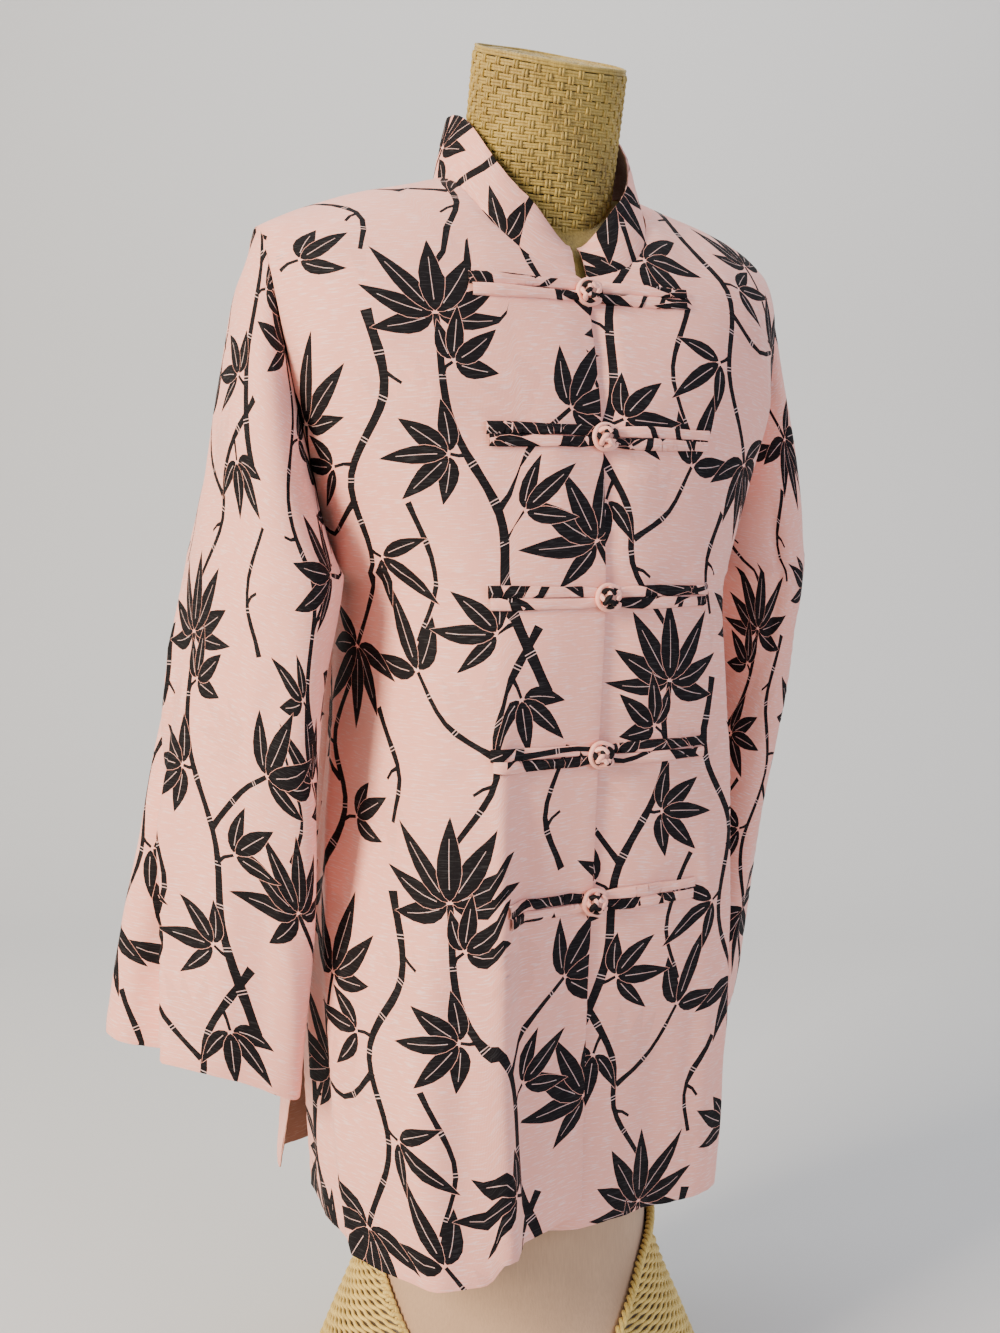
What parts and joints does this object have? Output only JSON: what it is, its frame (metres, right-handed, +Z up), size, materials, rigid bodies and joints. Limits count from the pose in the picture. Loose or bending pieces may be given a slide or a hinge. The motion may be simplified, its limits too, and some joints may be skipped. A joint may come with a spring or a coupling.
{
  "type": "mandarin-collar jacket on a limbless dress form",
  "caption": "Long-sleeved jacket with a standing collar, frog closures and side slits, worn by a limbless dress form with a corded neck and a flared woven foot.",
  "frame": {"origin": "middle of the dress form's flat underside", "axes": "+Z up, the jacket's front faces -Y, the wearer's left is +X"},
  "size_m": [0.5381, 0.3376, 1.0274],
  "materials": {
    "jacket_cloth": "soft plain-weave cloth in dusty pink with a black bamboo print, slight sheen",
    "frog_cloth": "folded tubes of the same printed cloth",
    "form_cover": "smooth tan stretched cloth",
    "form_cord": "woven straw-coloured paper cord",
    "form_weave": "woven yellow cord"
  },
  "bodies": {
    "root": {"front_right": "jacket_cloth", "front_left": "jacket_cloth", "back": "jacket_cloth", "sleeve_right": "jacket_cloth", "sleeve_left": "jacket_cloth", "collar": "jacket_cloth", "frog1_right": "frog_cloth", "frog1_left": "frog_cloth", "frog1_knot": "frog_cloth", "frog2_right": "frog_cloth", "frog2_left": "frog_cloth", "frog2_knot": "frog_cloth", "frog3_right": "frog_cloth", "frog3_left": "frog_cloth", "frog3_knot": "frog_cloth", "frog4_right": "frog_cloth", "frog4_left": "frog_cloth", "frog4_knot": "frog_cloth", "frog5_right": "frog_cloth", "frog5_left": "frog_cloth", "frog5_knot": "frog_cloth", "form_body": "form_cover", "form_neck": "form_cord", "form_foot": "form_weave"}
  },
  "joints": []
}
